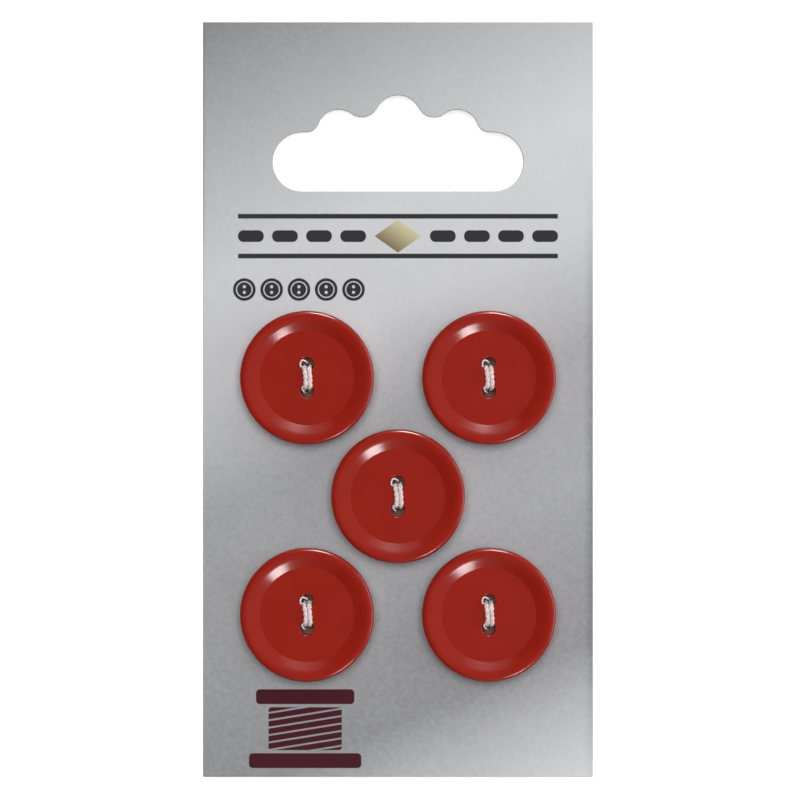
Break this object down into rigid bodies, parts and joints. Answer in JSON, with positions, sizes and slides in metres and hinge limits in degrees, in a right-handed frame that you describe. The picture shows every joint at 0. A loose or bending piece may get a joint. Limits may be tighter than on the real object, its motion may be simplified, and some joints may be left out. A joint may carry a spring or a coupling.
{
  "type": "card of buttons",
  "caption": "Shop card with a scalloped hang slot, holding sewn-on two-hole round buttons with dished faces; each is tied on with a doubled thread and a reef knot behind.",
  "frame": {"origin": "under the middle of the card, on the surface that the thread knots rest on when the card lies face up", "axes": "+X across the card to the right, +Y up the card towards the hang slot, +Z out of the printed face"},
  "size_m": [0.05, 0.0968, 0.005],
  "materials": {
    "card": "silver-grey coated paperboard, printed on the face and plain on the back",
    "button": "polished deep red plastic",
    "thread": "two-ply pinkish white sewing thread"
  },
  "bodies": {
    "root": {"card": "card", "button_top_left": "button", "button_top_right": "button", "button_middle": "button", "button_bottom_left": "button", "button_bottom_right": "button", "thread_top_left": "thread", "thread_top_right": "thread", "thread_middle": "thread", "thread_bottom_left": "thread", "thread_bottom_right": "thread"}
  },
  "joints": []
}
